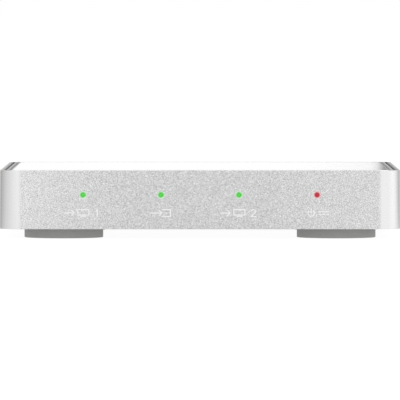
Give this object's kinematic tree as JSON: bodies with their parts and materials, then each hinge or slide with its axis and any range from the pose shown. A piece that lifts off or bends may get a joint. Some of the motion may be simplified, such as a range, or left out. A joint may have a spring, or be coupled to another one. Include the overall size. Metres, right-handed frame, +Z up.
{
  "type": "hdmi splitter",
  "caption": "Flat aluminium video splitter box with rounded corners, a white top cover, round grey feet, pin-hole indicators in front, and video sockets and a power jack behind.",
  "frame": {"origin": "centre of the footprint, on the surface that the feet stand on", "axes": "+X to the right seen from the front, +Y from the front face to the sockets at the rear, +Z up"},
  "size_m": [0.101, 0.09, 0.0173],
  "materials": {
    "frame_aluminium": "bead-blasted",
    "cover_white": "gloss",
    "seal_rubber": "matte",
    "bond_tape": "matte",
    "base_metal": "satin",
    "screw_steel": "plated",
    "foot_rubber": "matte",
    "board_laminate": "satin solder mask",
    "socket_metal": "nickel-plated",
    "black_plastic": "matte",
    "contact_gold": "gold-plated",
    "pin_metal": "nickel-plated",
    "leaf_bronze": "plated",
    "pipe_green": "clear, lit green",
    "pipe_red": "clear, lit red",
    "led_green": "gloss",
    "led_red": "gloss",
    "chip_black": "matte",
    "pad_grey": "matte",
    "sink_black": "black anodised",
    "can_metal": "satin",
    "ferrite": "matte",
    "ceramic_tan": "matte"
  },
  "bodies": {
    "splitter": {"body_frame": "frame_aluminium", "top_cover": "cover_white", "top_seal": "seal_rubber", "cover_tape": "bond_tape", "foot_tapes": "bond_tape", "base_plate": "base_metal", "base_screws": "screw_steel", "board_screws": "screw_steel", "front_left_foot": "foot_rubber", "front_right_foot": "foot_rubber", "rear_left_foot": "foot_rubber", "rear_right_foot": "foot_rubber", "main_board": "board_laminate", "output_1_shell": "socket_metal", "input_shell": "socket_metal", "output_2_shell": "socket_metal", "output_1_insulator": "black_plastic", "input_insulator": "black_plastic", "output_2_insulator": "black_plastic", "jack_body": "black_plastic", "output_1_contacts": "contact_gold", "input_contacts": "contact_gold", "output_2_contacts": "contact_gold", "jack_pin": "pin_metal", "jack_terminal": "leaf_bronze", "jack_switch_contact": "leaf_bronze", "output_1_light_pipe": "pipe_green", "input_light_pipe": "pipe_green", "output_2_light_pipe": "pipe_green", "power_light_pipe": "pipe_red", "output_1_led": "led_green", "input_led": "led_green", "output_2_led": "led_green", "power_led": "led_red", "splitter_chip": "chip_black", "control_chip": "chip_black", "edid_memories": "chip_black", "voltage_regulators": "chip_black", "protection_diode": "chip_black", "surge_arrays": "chip_black", "thermal_pad": "pad_grey", "heat_sink": "sink_black", "bulk_capacitors": "can_metal", "crystal": "can_metal", "power_inductor": "ferrite", "coupling_capacitors": "ceramic_tan"},
    "contact_leaf": {"jack_leaf": "leaf_bronze"}
  },
  "joints": [
    {"name": "contact_leaf_bend", "type": "hinge", "parent": "splitter", "child": "contact_leaf", "pos_m": [0.02683, 0.0357, 0.01], "axis": [0, 0, 1], "range_deg": [0, 6], "stiffness_Nm_per_rad": 0.08}
  ]
}
